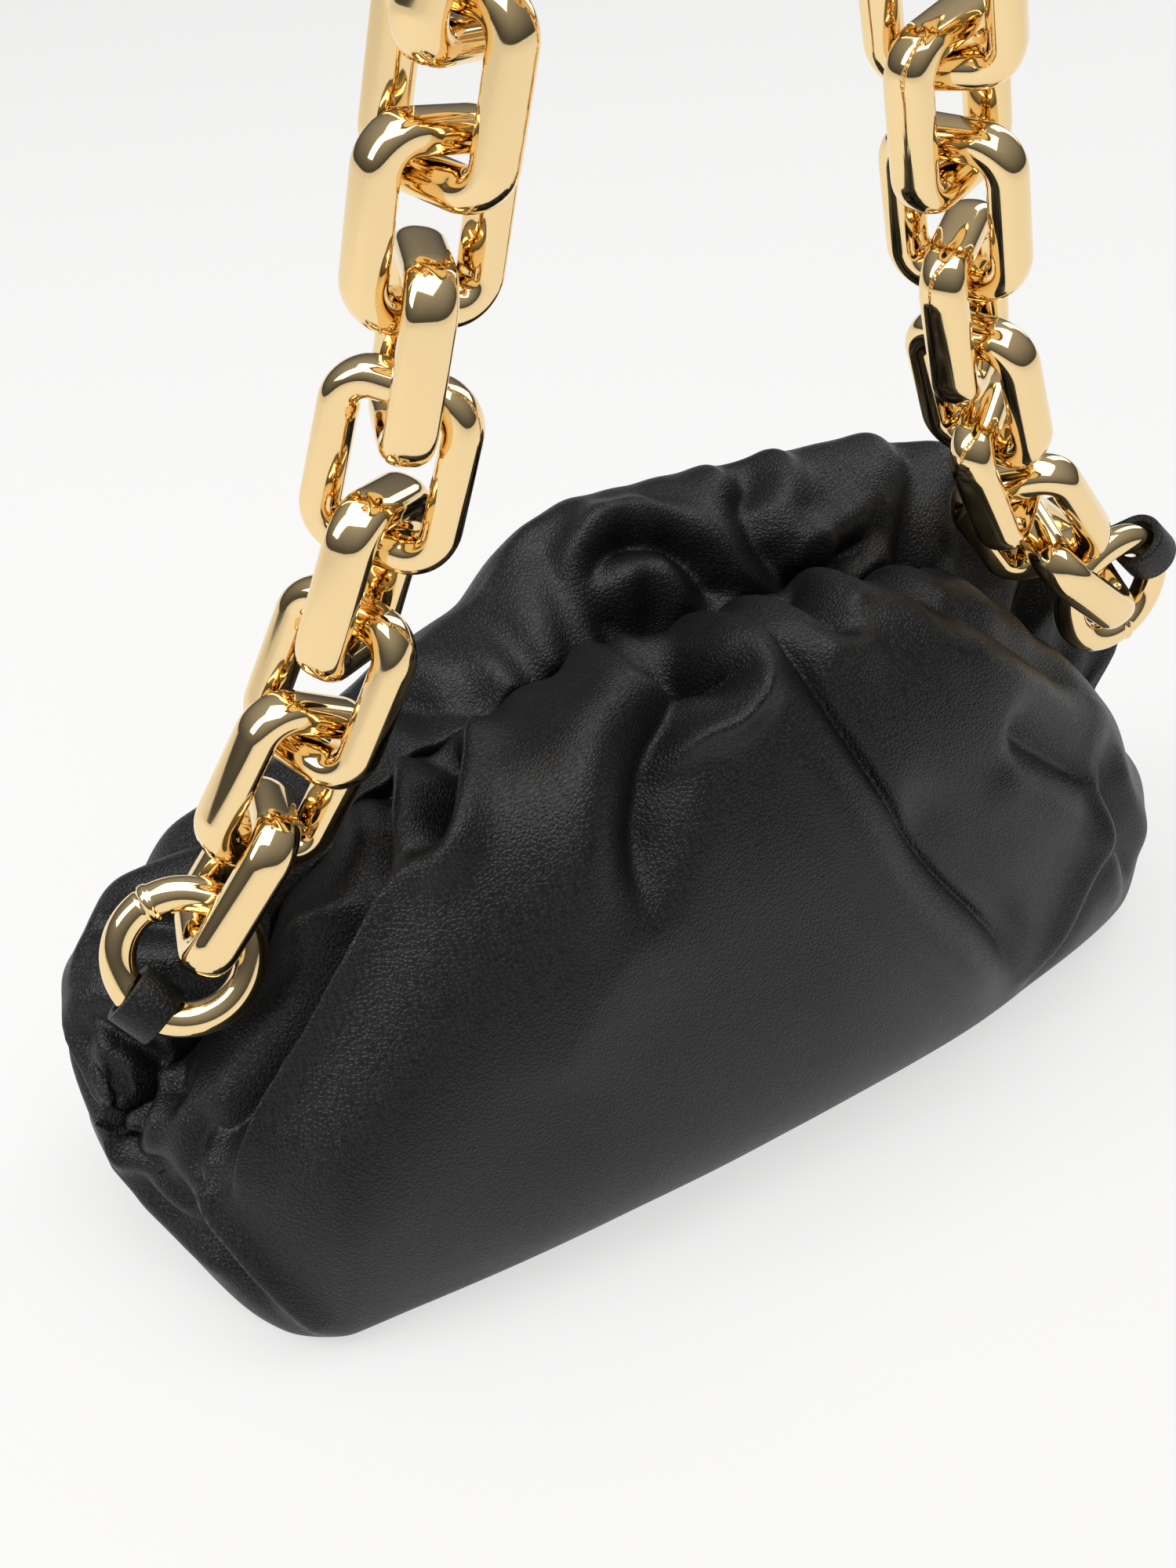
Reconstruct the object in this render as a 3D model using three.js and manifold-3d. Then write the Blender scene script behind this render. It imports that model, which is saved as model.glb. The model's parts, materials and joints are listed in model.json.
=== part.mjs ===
// A gathered leather frame pouch carried by a heavy chain. Millimetres, +Z up.
// X runs along the bag, -Y is its front, and the origin is the middle of the base it stands on.
import * as THREE from "three";
import { mergeVertices } from "three/addons/utils/BufferGeometryUtils.js";
import Module from "manifold-3d";

const wasm = await Module();
wasm.setup();

// Vertices closer than this are one vertex
const MERGE_DISTANCE = 1e-4;

// Leather body
const HALF_LENGTH = 157;
const LEATHER = 2.4;
const BASE_INSET = 8;
const BULGE_HEIGHT = 42;
const MOUTH_HALF_LENGTH = 112;
const MOUTH_HEIGHT = 74;
// Each profile is [share of the half length, millimetres] along the bag
const FRONT_DEPTH = [[-1, 16], [-0.94, 46], [-0.8, 60], [-0.36, 69], [0, 68], [0.35, 60], [0.65, 49],
  [0.9, 36], [1, 14]];
const REAR_DEPTH = [[-1, 18], [-0.94, 44], [-0.76, 56], [-0.3, 62], [0, 62], [0.4, 60], [0.7, 52],
  [0.9, 38], [1, 14]];
const FRONT_CREST = [[-1, 38], [-0.92, 60], [-0.82, 75], [-0.7, 97], [-0.55, 121], [-0.3, 138], [0, 144],
  [0.35, 137], [0.6, 110], [0.8, 82], [0.92, 64], [1, 38]];
const REAR_CREST = [[-1, 42], [-0.93, 78], [-0.79, 96], [-0.57, 119], [-0.34, 137], [-0.15, 153], [0, 157],
  [0.43, 155], [0.68, 141], [0.87, 122], [0.95, 98], [1, 44]];
const VALLEY = [[-1, 28], [-0.92, 48], [-0.8, 64], [-0.68, 92], [-0.54, 114], [-0.3, 124], [0, 126],
  [0.35, 124], [0.58, 109], [0.76, 76], [0.9, 54], [1, 28]];

// Where the cross-sections are taken, as shares of the half length, and the steps along each of their curves
const STATION_SHARES = [-1, -0.97, -0.93, -0.87, -0.8, -0.7, -0.6, -0.48, -0.34, -0.18, 0, 0.18, 0.36, 0.52,
  0.67, 0.78, 0.87, 0.93, 0.97, 1];
const SECTION_STEPS = 4;
// Handles of a cross-section's curves, as shares of its depth and heights
const LOW_BULGE_SHARE = 0.45;
const CREST_SHARE = 0.44;
const FOOT_SHARE = 0.2;
const LOWER_SIDE_SHARE = 0.4;
const UPPER_SIDE_SHARE = 0.6;
const SHOULDER_SHARE = 0.5;
const BROW_SHARE = 0.45;
const LIP_SHARE = 0.12;
const LIP_DROP_SHARE = 0.55;

// Lining and base board
const LINING = 1.2;
const BASE_BOARD = 1.8;
const BASE_BOARD_MARGIN = 12;
const BOARD_SHARES = [-0.84, -0.6, -0.3, 0, 0.3, 0.6, 0.8];
const SEAT_GAP = 0.3;

// Spring frame that holds the mouth
const FRAME_HINGE_HEIGHT = 70;
const FRAME_HALF_SPAN = 98;
const FRAME_SHOULDER = 14;
const FRAME_BAR_WIDTH = 3;
const FRAME_BAR_HEIGHT = 2.4;
const FRAME_OFFSET = 3.4;
const FRAME_STEPS = 16;
const FRAME_TURN_STEPS = 4;
const BAR_CORNERS = [[-1, -1], [-1, 1], [1, 1], [1, -1]];
const ROUND_SIDES = 12;
const FRAME_EYE_RADIUS = 5;
const HINGE_PIN_RADIUS = 1.6;
const HINGE_PIN_HEAD_RADIUS = 3;
const HINGE_PIN_HEAD = 1.4;
const MAGNET_LENGTH = 30;
const MAGNET_HEIGHT = 9;

// Chain links
const LINK_COUNT = 23;
const LINK_BAR = 8.6;
const LINK_THICKNESS = 11;
const LINK_HOLE_LENGTH = 26.4;
const LINK_HOLE_WIDTH = 17.4;
const LINK_CORNER = 7;
const LINK_CORNER_STEPS = 3;
const LINK_GAP = 0.6;
const BENT_LINK_GAP = 1.7;
const BENT_LINKS = 2;
const LINK_SECTION_POWER = 2.2;
const LINK_SECTION_SIDES = 10;

// End rings and their leather tabs
const RING_RADIUS = 14.7;
const RING_TUBE = 8.6;
const RING_SIDES = 10;
const RING_STEPS = 24;
const RING_GAP = 0.75;
const RING_SEAM_HEIGHT = 0.5;
const RING_SEAM_WIDTH = 1.6;
const RING_SEAM_SLOPE = 0.3;
const RING_SEAM_ANGLE = 249;
const TAB_WIDTH = 10.4;
const TAB_LEATHER = 2.2;
const TAB_TAIL = 30;
const TAB_NECK_ANGLE = 55;
const TAB_STEPS = 14;

// How the chain is held up: each ring leaves its tab along its pull
const LEFT_TAB_INSET = 6;
const LEFT_TAB = new THREE.Vector3(LEFT_TAB_INSET - HALF_LENGTH, -10, 82);
const LEFT_RING_PULL = new THREE.Vector3(0.74, 0, 0.67).normalize();
const LEFT_RING_TURN = 14;
const LEFT_TAB_ANGLE = 80;
const RIGHT_TAB_INSET = 15;
const RIGHT_TAB = new THREE.Vector3(HALF_LENGTH - RIGHT_TAB_INSET, -12, 117);
const RIGHT_RING_PULL = new THREE.Vector3(-0.7, 0, -0.7).normalize();
const RIGHT_RING_TURN = -46;
const RIGHT_TAB_ANGLE = 110;
const CHAIN_LEAN = 5;
const CHAIN_FACE = new THREE.Vector3(-0.42, -0.7, 0.58).normalize();
const ARCH_POINTS = 400;
const ARCH_SEARCH_STEPS = 50;
const ARCH_TOP_SHARE = 0.486;
const ARCH_TOP_REACH = 84;
const LEFT_LEG_ANGLE = 50;
const LEFT_LEG_REACH = 148;
const RIGHT_LEG_ANGLE = 37;
const RIGHT_LEG_REACH = 118;
// Turn of each link about the chain against the one before it, tight where the chain is twisted
const TURNS = { t: 68, b: -68, s: 82, z: -82 };
const LINK_TURNS = "ttsstttstsszzsttzztzzz";
const FIRST_LINK_TURN = 64;

const leather = new THREE.MeshStandardMaterial({ color: 0x17181a, roughness: 0.55, metalness: 0 });
const cloth = new THREE.MeshStandardMaterial({ color: 0x1b1a1a, roughness: 0.9, metalness: 0 });
const board = new THREE.MeshStandardMaterial({ color: 0x4a4038, roughness: 0.9, metalness: 0 });
const gold = new THREE.MeshStandardMaterial({ color: 0xe2b45c, roughness: 0.08, metalness: 1 });
const steel = new THREE.MeshStandardMaterial({ color: 0x9a9a9c, roughness: 0.35, metalness: 1 });

const bag = new THREE.Group();

function addPiece(name, geometry, material) {
  const mesh = new THREE.Mesh(geometry, material);
  mesh.name = name;
  bag.add(mesh);
  return mesh;
}

// Closed solids and back
function solidOf(geometry) {
  const bare = geometry.clone();
  bare.deleteAttribute("normal");
  bare.deleteAttribute("uv");
  const merged = mergeVertices(bare, MERGE_DISTANCE);
  return new wasm.Manifold(new wasm.Mesh({
    numProp: 3,
    vertProperties: new Float32Array(merged.attributes.position.array),
    triVerts: new Uint32Array(merged.index.array),
  }));
}

function geometryOf(solid) {
  const mesh = solid.getMesh();
  const geometry = new THREE.BufferGeometry();
  geometry.setAttribute("position", new THREE.BufferAttribute(mesh.vertProperties, 3));
  geometry.setIndex(new THREE.BufferAttribute(mesh.triVerts, 1));
  geometry.computeVertexNormals();
  return geometry;
}

function boxSolid(low, high) {
  const size = new THREE.Vector3().subVectors(high, low);
  const middle = new THREE.Vector3().addVectors(low, high).multiplyScalar(0.5);
  return solidOf(new THREE.BoxGeometry(size.x, size.y, size.z).translate(middle.x, middle.y, middle.z));
}

// Skin over a row of sections with equal point counts. A row that isn't a loop gets flat ends.
function loft(sections, isLoop) {
  const count = sections[0].length;
  const points = sections.flat();
  const indices = [];
  const rows = isLoop ? sections.length : sections.length - 1;
  for (let i = 0; i < rows; i++) {
    const near = i * count;
    const far = ((i + 1) % sections.length) * count;
    for (let j = 0; j < count; j++) {
      const next = (j + 1) % count;
      indices.push(near + j, far + j, far + next);
      indices.push(near + j, far + next, near + next);
    }
  }
  if (!isLoop) {
    const last = (sections.length - 1) * count;
    const firstMiddle = points.push(middleOf(sections[0])) - 1;
    const lastMiddle = points.push(middleOf(sections.at(-1))) - 1;
    for (let j = 0; j < count; j++) {
      const next = (j + 1) % count;
      indices.push(firstMiddle, j, next);
      indices.push(lastMiddle, last + next, last + j);
    }
  }
  const geometry = new THREE.BufferGeometry();
  const numbers = points.flatMap((p) => [p.x, p.y, p.z]);
  geometry.setAttribute("position", new THREE.Float32BufferAttribute(numbers, 3));
  geometry.setIndex(indices);
  return geometry;
}

function middleOf(points) {
  const sum = points.reduce((total, p) => total.add(p), new THREE.Vector3());
  return sum.divideScalar(points.length);
}

// Smooth value of a profile at a share of the half length
function along(profile, share) {
  let k = 0;
  while (k < profile.length - 2 && share > profile[k + 1][0]) k += 1;
  const at = (d) => profile[THREE.MathUtils.clamp(k + d, 0, profile.length - 1)];
  const [before, from, to, after] = [-1, 0, 1, 2].map(at);
  const span = to[0] - from[0];
  const t = THREE.MathUtils.clamp((share - from[0]) / span, 0, 1);
  const slopeIn = ((to[1] - before[1]) / (to[0] - before[0])) * span;
  const slopeOut = ((after[1] - from[1]) / (after[0] - from[0])) * span;
  const t2 = t * t;
  const t3 = t2 * t;
  return (2 * t3 - 3 * t2 + 1) * from[1] + (t3 - 2 * t2 + t) * slopeIn
    + (3 * t2 - 2 * t3) * to[1] + (t3 - t2) * slopeOut;
}

// Half of a cross-section, from the edge of the base up over the puff to the closure
function halfSection(depth, crest, valley, side) {
  const bulge = Math.min(BULGE_HEIGHT, LOW_BULGE_SHARE * crest);
  const crestY = CREST_SHARE * depth;
  const shoulderY = crestY + SHOULDER_SHARE * (depth - crestY);
  const sideTop = bulge + UPPER_SIDE_SHARE * (crest - bulge);
  const lipHeight = valley + LIP_DROP_SHARE * (crest - valley);
  const point = (y, z) => new THREE.Vector2(side * y, z);
  return [
    new THREE.CubicBezierCurve(point(depth - BASE_INSET, 0), point(depth - FOOT_SHARE * BASE_INSET, 0),
      point(depth, LOWER_SIDE_SHARE * bulge), point(depth, bulge)),
    new THREE.CubicBezierCurve(point(depth, bulge), point(depth, sideTop), point(shoulderY, crest),
      point(crestY, crest)),
    new THREE.CubicBezierCurve(point(crestY, crest), point(BROW_SHARE * crestY, crest),
      point(LIP_SHARE * crestY, lipHeight), point(0, valley)),
  ];
}

function sectionAt(share, inset, floor) {
  const valley = along(VALLEY, share);
  const front = halfSection(along(FRONT_DEPTH, share), along(FRONT_CREST, share), valley, -1);
  const rear = halfSection(along(REAR_DEPTH, share), along(REAR_CREST, share), valley, 1);
  const points = [];
  for (const curve of front) points.push(...curve.getPoints(SECTION_STEPS).slice(0, -1));
  for (const curve of rear.reverse()) {
    points.push(...curve.getPoints(SECTION_STEPS).reverse().slice(0, -1));
  }
  points.push(rear.at(-1).getPoint(0));
  const count = points.length;
  return points.map((p, i) => {
    const tangent = points[(i + 1) % count].clone().sub(points[(i + count - 1) % count]).normalize();
    const moved = p.clone().add(new THREE.Vector2(tangent.y, -tangent.x).multiplyScalar(inset));
    return new THREE.Vector2(moved.x, Math.max(moved.y, floor));
  });
}

function bagSolid(inset, floor) {
  const reach = HALF_LENGTH - inset;
  return solidOf(loft(STATION_SHARES.map((share) => sectionAt(share, inset, floor)
    .map((p) => new THREE.Vector3(share * reach, p.x, p.y))), false));
}

// A long box that covers everything above a height, for cutting
const FAR = 2 * HALF_LENGTH;

function above(halfLength, front, rear, height) {
  return boxSolid(new THREE.Vector3(-halfLength, front, height), new THREE.Vector3(halfLength, rear, FAR));
}

// Leather: a lower body with two soft puffs that ride on the mouth frame
const skin = bagSolid(0, 0).subtract(bagSolid(LEATHER, LEATHER));
const puffEnd = MOUTH_HALF_LENGTH - SEAT_GAP;
const puffFoot = MOUTH_HEIGHT + SEAT_GAP;
let leatherBody = skin.subtract(above(MOUTH_HALF_LENGTH, -FAR, FAR, MOUTH_HEIGHT));
const frontPuff = skin.intersect(above(puffEnd, -FAR, -SEAT_GAP / 2, puffFoot));
const rearPuff = skin.intersect(above(puffEnd, SEAT_GAP / 2, FAR, puffFoot));
addPiece("front_mouth_puff", geometryOf(frontPuff), leather);
addPiece("rear_mouth_puff", geometryOf(rearPuff), leather);

// Lining: a cloth cup inside the body, over a stiff board on the leather floor
const boardBottom = LEATHER + SEAT_GAP;
const liningOutside = LEATHER + SEAT_GAP;
const liningFloor = boardBottom + BASE_BOARD + SEAT_GAP;
let lining = bagSolid(liningOutside, liningFloor)
  .subtract(bagSolid(liningOutside + LINING, liningFloor + LINING))
  .subtract(above(FAR, -FAR, FAR, MOUTH_HEIGHT - LEATHER));

const boardInset = BASE_INSET + BASE_BOARD_MARGIN;
const boardEdge = (profile, side) => BOARD_SHARES.map((share) => new THREE.Vector2(
  share * HALF_LENGTH, side * (along(profile, share) - boardInset)));
const boardFront = boardEdge(FRONT_DEPTH, -1);
const boardRear = boardEdge(REAR_DEPTH, 1);
const boardShape = new THREE.Shape([...boardFront, ...boardRear.reverse()]);
const boardPiece = new THREE.ExtrudeGeometry(boardShape, { depth: BASE_BOARD, bevelEnabled: false });
addPiece("base_board", boardPiece, board).position.z = boardBottom;

// Mouth frame: two arched strips side by side, their eyes on one pin at each end
const eyeHole = HINGE_PIN_RADIUS + SEAT_GAP;

// Height of the strips under the closure, which they follow along the mouth
function closureHeight(x) {
  const share = x / (HALF_LENGTH - LEATHER);
  const next = STATION_SHARES.findIndex((station) => station >= share);
  const [from, to] = [STATION_SHARES[next - 1], STATION_SHARES[next]];
  return THREE.MathUtils.mapLinear(share, from, to, along(VALLEY, from), along(VALLEY, to));
}

function frameHeight(x) {
  const slope = (closureHeight(x + 1) - closureHeight(x - 1)) / 2;
  const clearance = SEAT_GAP + FRAME_BAR_HEIGHT / 2;
  return closureHeight(x) - LEATHER - clearance * Math.hypot(1, slope);
}

function cylinderAlongX(radius, fromX, toX) {
  return solidOf(new THREE.CylinderGeometry(radius, radius, toX - fromX, ROUND_SIDES)
    .rotateZ(-Math.PI / 2)
    .translate((fromX + toX) / 2, 0, FRAME_HINGE_HEIGHT));
}

function eyeAt(x) {
  return cylinderAlongX(FRAME_EYE_RADIUS, x - FRAME_BAR_HEIGHT / 2, x + FRAME_BAR_HEIGHT / 2);
}

function frameLine(side, halfSpan) {
  const at = (x, z) => new THREE.Vector3(x, side * FRAME_OFFSET, z);
  const turnedIn = halfSpan - FRAME_SHOULDER;
  const leg = (end) => new THREE.QuadraticBezierCurve3(
    at(end * halfSpan, FRAME_HINGE_HEIGHT + FRAME_SHOULDER),
    at(end * halfSpan, frameHeight(end * halfSpan)),
    at(end * turnedIn, frameHeight(end * turnedIn))).getPoints(FRAME_TURN_STEPS);
  const top = [];
  for (let i = 1; i < FRAME_STEPS; i++) {
    const x = turnedIn * (2 * i / FRAME_STEPS - 1);
    top.push(at(x, frameHeight(x)));
  }
  return [at(-halfSpan, FRAME_HINGE_HEIGHT), ...leg(-1), ...top, ...leg(1).reverse(),
    at(halfSpan, FRAME_HINGE_HEIGHT)];
}

function framePiece(side, halfSpan) {
  const line = frameLine(side, halfSpan);
  const sections = line.map((p, i) => {
    const before = line[Math.max(i - 1, 0)];
    const after = line[Math.min(i + 1, line.length - 1)];
    const way = after.clone().sub(before).normalize();
    const across = new THREE.Vector3(0, FRAME_BAR_WIDTH / 2, 0);
    const outward = new THREE.Vector3(-way.z, 0, way.x).multiplyScalar(FRAME_BAR_HEIGHT / 2);
    return BAR_CORNERS.map(([wide, high]) => p.clone()
      .addScaledVector(across, wide).addScaledVector(outward, high));
  });
  return solidOf(loft(sections, false)).add(eyeAt(-halfSpan)).add(eyeAt(halfSpan))
    .subtract(cylinderAlongX(eyeHole, -FAR, FAR));
}

const innerSpan = FRAME_HALF_SPAN - FRAME_BAR_HEIGHT - 2 * SEAT_GAP;
addPiece("front_frame", geometryOf(framePiece(-1, FRAME_HALF_SPAN)), steel);
addPiece("rear_frame", geometryOf(framePiece(1, innerSpan)), steel);

const pinInner = innerSpan - FRAME_BAR_HEIGHT / 2 - SEAT_GAP;
const pinOuter = FRAME_HALF_SPAN + FRAME_BAR_HEIGHT / 2 + SEAT_GAP;
const pinPlaces = [["left_hinge_pin", -pinOuter, -pinInner], ["right_hinge_pin", pinInner, pinOuter]];
for (const [name, near, far] of pinPlaces) {
  const pin = cylinderAlongX(HINGE_PIN_RADIUS, near - HINGE_PIN_HEAD, far + HINGE_PIN_HEAD)
    .add(cylinderAlongX(HINGE_PIN_HEAD_RADIUS, near - HINGE_PIN_HEAD, near))
    .add(cylinderAlongX(HINGE_PIN_HEAD_RADIUS, far, far + HINGE_PIN_HEAD));
  addPiece(name, geometryOf(pin), steel);
}

// Magnets on the inner faces of the frame keep the mouth shut
const magnetThickness = FRAME_OFFSET - FRAME_BAR_WIDTH / 2 - SEAT_GAP - SEAT_GAP / 2;
const magnetDepth = (SEAT_GAP + magnetThickness) / 2;
const frameTop = Math.min(frameHeight(-MAGNET_LENGTH / 2), frameHeight(MAGNET_LENGTH / 2));
const magnetMiddle = frameTop + FRAME_BAR_HEIGHT / 2 - MAGNET_HEIGHT / 2;
for (const [name, side] of [["front_magnet", -1], ["rear_magnet", 1]]) {
  const magnet = new THREE.BoxGeometry(MAGNET_LENGTH, magnetThickness, MAGNET_HEIGHT);
  addPiece(name, magnet, steel).position.set(0, side * magnetDepth, magnetMiddle);
}

// Directions square to one another: the first is kept, the second only leans the rest
function squareTo(first, second) {
  return second.clone().addScaledVector(first, -second.dot(first)).normalize();
}

function turned(direction, axis, degrees) {
  return direction.clone().applyAxisAngle(axis, THREE.MathUtils.degToRad(degrees));
}

// Cross-section of a bar: outward is its half width away from the middle of the loop
function barSection(middle, outward, across, halfWidth, halfThickness, power, sides) {
  const points = [];
  for (let j = 0; j < sides; j++) {
    const angle = ((j + 0.5) / sides) * 2 * Math.PI;
    const bend = (value) => Math.sign(value) * Math.abs(value) ** (2 / power);
    points.push(middle.clone()
      .addScaledVector(outward, halfWidth * bend(Math.cos(angle)))
      .addScaledVector(across, halfThickness * bend(Math.sin(angle))));
  }
  return points;
}

// End ring: a round tube with a raised seam lip, and the tab that folds round it
function ringAxes(pull, turn) {
  const face = turned(squareTo(pull, CHAIN_FACE), pull, turn);
  return { pull, face, round: new THREE.Vector3().crossVectors(pull, face) };
}

function addRing(name, tab, axes) {
  const middle = tab.clone().addScaledVector(axes.pull, RING_RADIUS);
  const lipAngle = THREE.MathUtils.degToRad(RING_SEAM_ANGLE);
  const lipTop = RING_SEAM_WIDTH / (2 * RING_RADIUS);
  const lipFoot = lipTop + RING_SEAM_SLOPE / RING_RADIUS;
  const stepAngle = 2 * Math.PI / RING_STEPS;
  const stations = [];
  for (let i = 0; i < RING_STEPS; i++) {
    if (Math.abs(i * stepAngle - lipAngle) > lipFoot + stepAngle / 4) stations.push([i * stepAngle, 0]);
  }
  for (const side of [-1, 1]) {
    stations.push([lipAngle + side * lipFoot, 0]);
    stations.push([lipAngle + side * lipTop, RING_SEAM_HEIGHT]);
  }
  stations.sort((a, b) => a[0] - b[0]);
  const sections = stations.map(([angle, lift]) => {
    const outward = axes.pull.clone().multiplyScalar(-Math.cos(angle))
      .addScaledVector(axes.round, Math.sin(angle));
    const centre = middle.clone().addScaledVector(outward, RING_RADIUS);
    const radius = RING_TUBE / 2 + lift;
    return barSection(centre, outward, axes.face, radius, radius, 2, RING_SIDES);
  });
  addPiece(name, loft(sections, true), gold);
}

function tabGeometry(inner) {
  const neck = THREE.MathUtils.degToRad(TAB_NECK_ANGLE);
  const outer = inner + TAB_LEATHER;
  const neckReach = (outer - TAB_LEATHER * Math.sin(neck)) / Math.cos(neck);
  const shape = new THREE.Shape();
  shape.moveTo(TAB_TAIL, TAB_LEATHER);
  shape.lineTo(neckReach, TAB_LEATHER);
  shape.absarc(0, 0, outer, neck, -neck, false);
  shape.lineTo(neckReach, -TAB_LEATHER);
  shape.lineTo(TAB_TAIL, -TAB_LEATHER);
  const eye = new THREE.Path();
  eye.moveTo(inner / Math.cos(neck), 0);
  eye.lineTo(inner * Math.cos(neck), inner * Math.sin(neck));
  eye.absarc(0, 0, inner, neck, -neck, false);
  shape.holes.push(eye);
  return new THREE.ExtrudeGeometry(shape, { depth: TAB_WIDTH, bevelEnabled: false, curveSegments: TAB_STEPS })
    .translate(0, 0, -TAB_WIDTH / 2);
}

// The ring's tube curves inside the tab, so the loop is a little wider than the tube
const tubeInside = RING_RADIUS - RING_TUBE / 2;
const tubeBow = tubeInside - Math.sqrt(tubeInside ** 2 - (TAB_WIDTH / 2) ** 2);
const tabInner = (RING_TUBE + tubeBow) / 2 + SEAT_GAP;

function addTab(name, tab, axes, angle) {
  const tail = turned(axes.pull, axes.round, angle).multiplyScalar(-1);
  const lift = new THREE.Vector3().crossVectors(axes.round, tail);
  const origin = tab.clone().addScaledVector(axes.pull, tubeBow / 2);
  const mesh = addPiece(name, tabGeometry(tabInner), leather);
  mesh.applyMatrix4(new THREE.Matrix4().makeBasis(tail, lift, axes.round).setPosition(origin));
  return { origin, tail, lift, round: axes.round };
}

function tabSlot(seat) {
  const length = TAB_TAIL + SEAT_GAP;
  const height = 2 * (TAB_LEATHER + SEAT_GAP);
  const place = new THREE.Matrix4().makeBasis(seat.tail, seat.lift, seat.round).setPosition(seat.origin);
  return solidOf(new THREE.BoxGeometry(length, height, TAB_WIDTH + 2 * SEAT_GAP)
    .translate(length / 2, 0, 0).applyMatrix4(place));
}

const leftAxes = ringAxes(LEFT_RING_PULL, LEFT_RING_TURN);
const rightAxes = ringAxes(RIGHT_RING_PULL, RIGHT_RING_TURN);
addRing("left_ring", LEFT_TAB, leftAxes);
addRing("right_ring", RIGHT_TAB, rightAxes);
const tabSeats = [addTab("left_tab", LEFT_TAB, leftAxes, LEFT_TAB_ANGLE),
  addTab("right_tab", RIGHT_TAB, rightAxes, RIGHT_TAB_ANGLE)];
for (const seat of tabSeats) {
  leatherBody = leatherBody.subtract(tabSlot(seat));
  lining = lining.subtract(tabSlot(seat));
}
addPiece("lining", geometryOf(lining), cloth);
addPiece("leather_body", geometryOf(leatherBody), leather);

// Chain: link ends meet on one leaning arch, whose height is found from the length of the chain
const topLink = (LINK_COUNT - 1) / 2;
const leaningUp = turned(new THREE.Vector3(0, 0, 1), new THREE.Vector3(1, 0, 0), CHAIN_LEAN);

// Where a leg of the chain hooks inside its ring
function ringHook(tab, axes, legSide, legAngle) {
  const leg = turned(new THREE.Vector3(legSide, 0, 0), new THREE.Vector3().crossVectors(
    new THREE.Vector3(legSide, 0, 0), leaningUp), legAngle);
  return tab.clone()
    .addScaledVector(axes.pull, RING_RADIUS)
    .addScaledVector(squareTo(axes.face, leg), RING_RADIUS - RING_TUBE / 2 - RING_GAP);
}

const chainStart = ringHook(LEFT_TAB, leftAxes, 1, LEFT_LEG_ANGLE);
const chainEnd = ringHook(RIGHT_TAB, rightAxes, -1, RIGHT_LEG_ANGLE);
const span = chainStart.distanceTo(chainEnd);
const chainAlong = new THREE.Vector3().subVectors(chainEnd, chainStart).normalize();
const chainUp = squareTo(chainAlong, leaningUp);

function archPoints(height) {
  const leg = (reach, degrees) => turned(new THREE.Vector3(reach, 0, 0), new THREE.Vector3(0, 0, 1), degrees);
  const left = leg(LEFT_LEG_REACH, LEFT_LEG_ANGLE);
  const right = leg(RIGHT_LEG_REACH, RIGHT_LEG_ANGLE);
  const top = new THREE.Vector2(ARCH_TOP_SHARE * span, height);
  const reach = new THREE.Vector2(ARCH_TOP_REACH, 0);
  const arch = new THREE.CurvePath();
  arch.add(new THREE.CubicBezierCurve(new THREE.Vector2(0, 0), new THREE.Vector2(left.x, left.y),
    top.clone().sub(reach), top));
  arch.add(new THREE.CubicBezierCurve(top, top.clone().add(reach),
    new THREE.Vector2(span - right.x, right.y), new THREE.Vector2(span, 0)));
  return arch.curves.flatMap((curve) => curve.getPoints(ARCH_POINTS));
}

// Step from one meeting point to the next: looser round the bend at the top
function linkStep(index) {
  return LINK_HOLE_LENGTH - (Math.abs(index - topLink) <= BENT_LINKS ? BENT_LINK_GAP : LINK_GAP);
}

// Walks an arch in steps of one link. spare is what is left over, or below zero if the arch is too short.
function walkArch(height) {
  const points = archPoints(height);
  const stops = [points[0]];
  let k = 1;
  while (stops.length <= LINK_COUNT) {
    const step = linkStep(stops.length - 1);
    while (k < points.length && points[k].distanceTo(stops.at(-1)) < step) k += 1;
    if (k === points.length) return { stops, spare: stops.length - 1 - LINK_COUNT };
    const from = points[k - 1];
    const gap = points[k].distanceTo(stops.at(-1)) - from.distanceTo(stops.at(-1));
    const share = (step - from.distanceTo(stops.at(-1))) / gap;
    stops.push(from.clone().lerp(points[k], share));
  }
  return { stops, spare: stops.at(-1).distanceTo(points.at(-1)) };
}

let low = 0;
let high = LINK_COUNT * LINK_HOLE_LENGTH;
for (let i = 0; i < ARCH_SEARCH_STEPS; i++) {
  const height = (low + high) / 2;
  if (walkArch(height).spare < 0) low = height;
  else high = height;
}
const joints = walkArch(high).stops.map((p) => chainStart.clone()
  .addScaledVector(chainAlong, p.x)
  .addScaledVector(chainUp, p.y));

// One link: a thick rounded bar bent into a rounded rectangle, its length along X
function linkGeometry() {
  const halfLength = (LINK_HOLE_LENGTH + LINK_BAR) / 2;
  const halfWidth = (LINK_HOLE_WIDTH + LINK_BAR) / 2;
  const across = new THREE.Vector3(0, 0, 1);
  const sections = [];
  for (let corner = 0; corner < 4; corner++) {
    const centre = new THREE.Vector3(
      (corner === 0 || corner === 3 ? 1 : -1) * (halfLength - LINK_CORNER),
      (corner < 2 ? 1 : -1) * (halfWidth - LINK_CORNER), 0);
    for (let i = 0; i <= LINK_CORNER_STEPS; i++) {
      const angle = (corner + i / LINK_CORNER_STEPS) * Math.PI / 2;
      const outward = new THREE.Vector3(Math.cos(angle), Math.sin(angle), 0);
      const middle = centre.clone().addScaledVector(outward, LINK_CORNER);
      sections.push(barSection(middle, outward, across, LINK_BAR / 2, LINK_THICKNESS / 2,
        LINK_SECTION_POWER, LINK_SECTION_SIDES));
    }
  }
  return loft(sections, true);
}

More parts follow.
